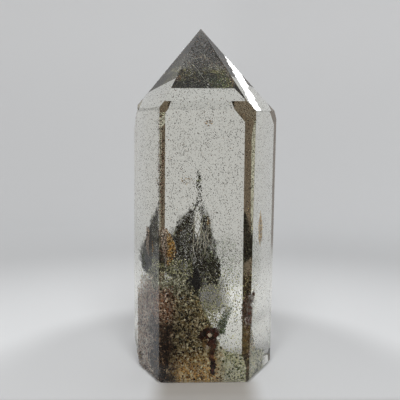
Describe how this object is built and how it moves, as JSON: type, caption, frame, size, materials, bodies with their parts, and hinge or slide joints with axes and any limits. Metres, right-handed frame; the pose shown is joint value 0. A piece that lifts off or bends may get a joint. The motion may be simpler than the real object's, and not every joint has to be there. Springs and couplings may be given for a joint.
{
  "type": "garden quartz point",
  "caption": "Clear hexagonal quartz point on a flat ground base, with a garden of green chlorite and rusty iron minerals grown inside it.",
  "frame": {"origin": "middle of the outline at the ground base that the point stands on", "axes": "+Z from the base to the tip, the widest and clearest face looks along -Y, +X to the right of someone looking at that face"},
  "size_m": [0.036, 0.0262, 0.085],
  "materials": {
    "clear_quartz": "polished, see-through",
    "green_chlorite": "matt, grainy",
    "iron_stained_bed": "matt, speckled",
    "orange_limonite": "matt, powdery",
    "iron_oxide": "dark, half-shiny"
  },
  "bodies": {
    "root": {"quartz_point": "clear_quartz", "chlorite_mountain": "green_chlorite", "chlorite_drift": "green_chlorite", "iron_stained_bed": "iron_stained_bed", "limonite_patch": "orange_limonite", "iron_oxide_cluster": "iron_oxide"}
  },
  "joints": []
}
